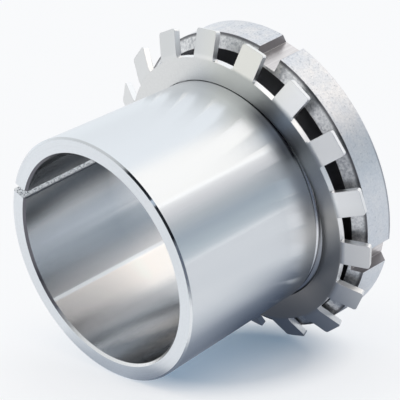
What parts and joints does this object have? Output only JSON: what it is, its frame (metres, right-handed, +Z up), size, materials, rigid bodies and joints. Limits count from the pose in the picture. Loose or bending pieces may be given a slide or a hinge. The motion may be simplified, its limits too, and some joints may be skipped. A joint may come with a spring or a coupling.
{
  "type": "bearing adapter sleeve",
  "caption": "Split tapered steel sleeve with a threaded end, a round slotted lock nut and a tabbed lock washer, for holding a taper-bore bearing on a plain shaft.",
  "frame": {"origin": "centre of the part's bounding box on the floor, with the part lying on two washer tabs and the sleeve's large rim", "axes": "+X runs level from the sleeve's large end to its threaded end, +Y runs level across the part, +Z points up"},
  "size_m": [0.0748, 0.0866, 0.0829],
  "materials": {
    "ground_steel": "bright ground and turned steel",
    "sheet_steel": "satin stamped sheet steel",
    "nut_steel": "satin, slightly mottled steel"
  },
  "bodies": {
    "sleeve": {"sleeve": "ground_steel"},
    "lock_washer": {"lock_washer": "sheet_steel"},
    "lock_nut": {"lock_nut": "nut_steel"}
  },
  "joints": [
    {"name": "washer_slide", "type": "slide", "parent": "sleeve", "child": "lock_washer", "axis": [0.9791, 0, 0.2033], "range_m": [-0.002, 0.004]},
    {"name": "nut_turn", "type": "hinge", "parent": "lock_washer", "child": "lock_nut", "pos_m": [0.02406, 0, 0.04263], "axis": [0.9791, 0, 0.2033], "range_deg": [-360, 720]}
  ],
  "couplings": [
    {"joint": "washer_slide", "follows": "nut_turn", "m_per_rad": 0.00031831}
  ]
}
